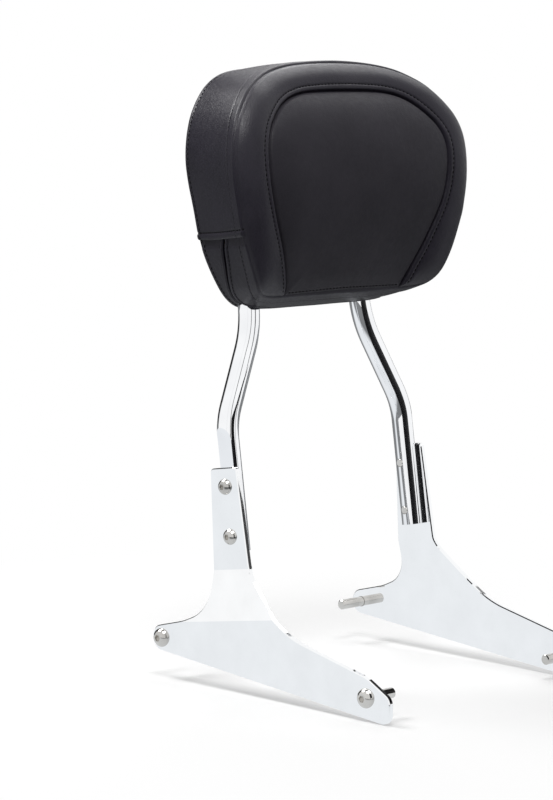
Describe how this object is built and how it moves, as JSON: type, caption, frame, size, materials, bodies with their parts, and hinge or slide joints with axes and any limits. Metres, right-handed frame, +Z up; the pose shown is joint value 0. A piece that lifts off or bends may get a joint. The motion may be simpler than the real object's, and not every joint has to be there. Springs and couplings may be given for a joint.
{
  "type": "motorcycle sissy bar with backrest pad",
  "caption": "Bent bar hoop on two joggled sideplates, with a sewn backrest pad; it screws to both sides of a rear fender.",
  "frame": {"origin": "on the centre plane, on the line through the two rear fender screws", "axes": "+X towards the front of the machine, +Y to its left, +Z up"},
  "size_m": [0.2875, 0.288, 0.5399],
  "materials": {
    "chrome": "polished",
    "zinc": "zinc plated",
    "bracket": "satin black",
    "board": "bare plywood",
    "foam": "open cell foam",
    "panel_vinyl": "matt grained vinyl",
    "border_vinyl": "satin grained vinyl",
    "band_vinyl": "satin grained vinyl",
    "piping_vinyl": "satin vinyl"
  },
  "bodies": {
    "root": {"left_front_fender_screw": "chrome", "left_lower_foot_screw": "chrome", "left_lower_pad_screw": "zinc", "left_lower_tee_nut": "zinc", "left_lower_washer": "zinc", "left_rear_fender_screw": "chrome", "left_sideplate": "chrome", "left_upper_foot_screw": "chrome", "left_upper_pad_screw": "zinc", "left_upper_tee_nut": "zinc", "left_upper_washer": "zinc", "lower_pad_bracket": "bracket", "pad_base_board": "board", "pad_border_panel": "border_vinyl", "pad_foam": "foam", "pad_front_lower_band": "band_vinyl", "pad_front_panel": "panel_vinyl", "pad_front_welt": "piping_vinyl", "pad_rear_cover": "band_vinyl", "pad_rear_flap": "band_vinyl", "pad_rear_piping": "piping_vinyl", "pad_side_band": "band_vinyl", "right_front_fender_screw": "chrome", "right_lower_foot_screw": "chrome", "right_lower_pad_screw": "zinc", "right_lower_tee_nut": "zinc", "right_lower_washer": "zinc", "right_rear_fender_screw": "chrome", "right_sideplate": "chrome", "right_upper_foot_screw": "chrome", "right_upper_pad_screw": "zinc", "right_upper_tee_nut": "zinc", "right_upper_washer": "zinc", "upper_pad_bracket": "bracket", "upright_hoop": "chrome"}
  },
  "joints": []
}
